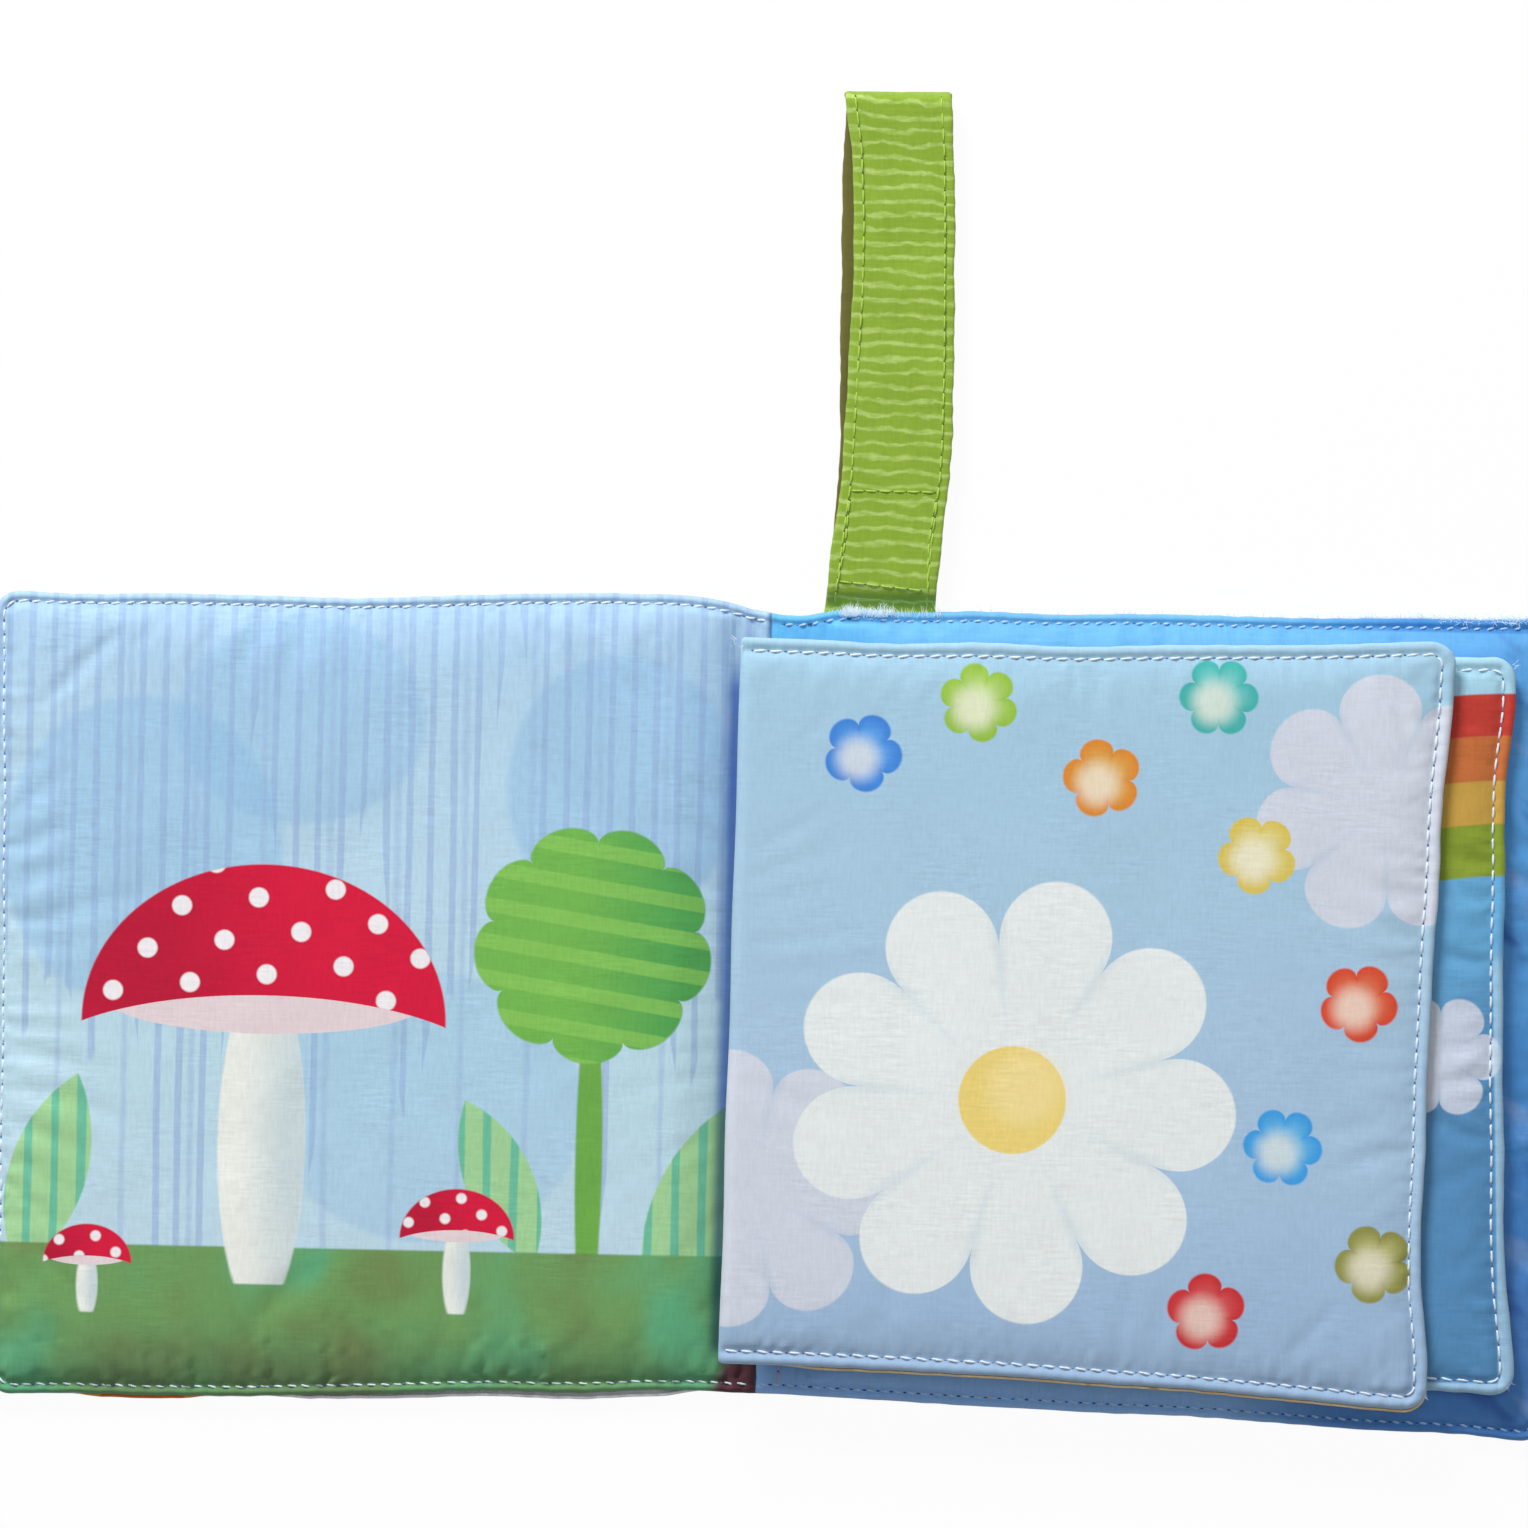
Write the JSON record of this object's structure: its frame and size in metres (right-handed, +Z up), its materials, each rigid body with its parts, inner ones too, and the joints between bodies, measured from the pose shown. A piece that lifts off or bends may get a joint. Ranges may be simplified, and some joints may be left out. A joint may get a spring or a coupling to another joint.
{
  "type": "crinkle cloth book",
  "caption": "Open soft cloth book with padded covers, padded turning leaves, edge stitching and a fold-over carry strap.",
  "frame": {"origin": "underside of the spine, at its middle, on the surface that the open book lies on", "axes": "+X across the open book from the front cover to the back cover, +Y along the spine towards the strap, +Z up, out of the pages"},
  "size_m": [0.2999, 0.2535, 0.014],
  "materials": {
    "pale_print": "smooth printed cotton, pale blue",
    "blue_print": "smooth printed cotton, sky blue",
    "outer_print": "smooth printed cotton, warm orange and lavender",
    "white_plush": "short white plush",
    "leaf_print": "smooth printed cotton, light blue",
    "rainbow_print": "smooth printed cotton with colour bands",
    "sand_print": "smooth printed cotton, sand",
    "wadding": "polyester wadding",
    "crinkle_film": "thin crackling film",
    "pale_thread": "polyester sewing thread",
    "pink_thread": "polyester sewing thread",
    "green_cotton": "green cotton printed with thin pale lines",
    "green_thread": "polyester sewing thread",
    "hook_tape": "hook side of hook-and-loop tape",
    "loop_tape": "loop side of hook-and-loop tape"
  },
  "bodies": {
    "back_cover": {"back_cover_outer": "white_plush", "back_cover_seam_allowance": "blue_print", "back_cover_wadding": "wadding", "back_cover_crinkle_film": "crinkle_film", "back_cover_inner": "blue_print", "back_cover_edge_thread": "pale_thread", "spine_outer": "outer_print", "spine_inner": "pale_print", "spine_front_seam": "pale_thread", "leaf_gutter": "leaf_print", "leaf_gutter_seam": "pink_thread", "strap_root_tab": "green_cotton"},
    "front_cover": {"front_cover_outer": "outer_print", "front_cover_seam_allowance": "pale_print", "front_cover_wadding": "wadding", "front_cover_crinkle_film": "crinkle_film", "front_cover_inner": "pale_print", "front_cover_edge_thread": "pale_thread"},
    "leaf_2": {"leaf_2_back": "blue_print", "leaf_2_wadding": "wadding", "leaf_2_crinkle_film": "crinkle_film", "leaf_2_front": "rainbow_print", "leaf_2_needle_thread": "pale_thread", "leaf_2_bobbin_thread": "pale_thread"},
    "leaf_1": {"leaf_1_back": "sand_print", "leaf_1_wadding": "wadding", "leaf_1_crinkle_film": "crinkle_film", "leaf_1_front": "leaf_print", "leaf_1_needle_thread": "pale_thread", "leaf_1_bobbin_thread": "pale_thread"},
    "strap": {"strap_front_leg": "green_cotton", "strap_hook_patch": "hook_tape", "strap_box_seam": "green_thread", "strap_front_left_thread": "green_thread", "strap_front_right_thread": "green_thread"},
    "strap_tail": {"strap_back_leg": "green_cotton", "strap_loop_patch": "loop_tape", "strap_back_left_thread": "green_thread", "strap_back_right_thread": "green_thread"}
  },
  "joints": [
    {"name": "front_cover_turn", "type": "hinge", "parent": "back_cover", "child": "front_cover", "pos_m": [0, 0, 0.0102], "axis": [0, -1, 0], "range_deg": [-179, 0]},
    {"name": "leaf_2_turn", "type": "hinge", "parent": "back_cover", "child": "leaf_2", "pos_m": [-0.0025, 0, 0.0102], "axis": [0, -1, 0], "range_deg": [0, 179]},
    {"name": "leaf_1_turn", "type": "hinge", "parent": "leaf_2", "child": "leaf_1", "pos_m": [-0.0076, 0, 0.0102], "axis": [0, -1, 0], "range_deg": [0, 179]},
    {"name": "strap_swing", "type": "hinge", "parent": "back_cover", "child": "strap", "pos_m": [0.0206, 0.0762, 0.0035], "axis": [1, 0, 0], "range_deg": [0, 105]},
    {"name": "strap_tail_peel", "type": "hinge", "parent": "strap", "child": "strap_tail", "pos_m": [0.0206, 0.17396, 0.00235], "axis": [1, 0, 0], "range_deg": [0, 179]}
  ]
}
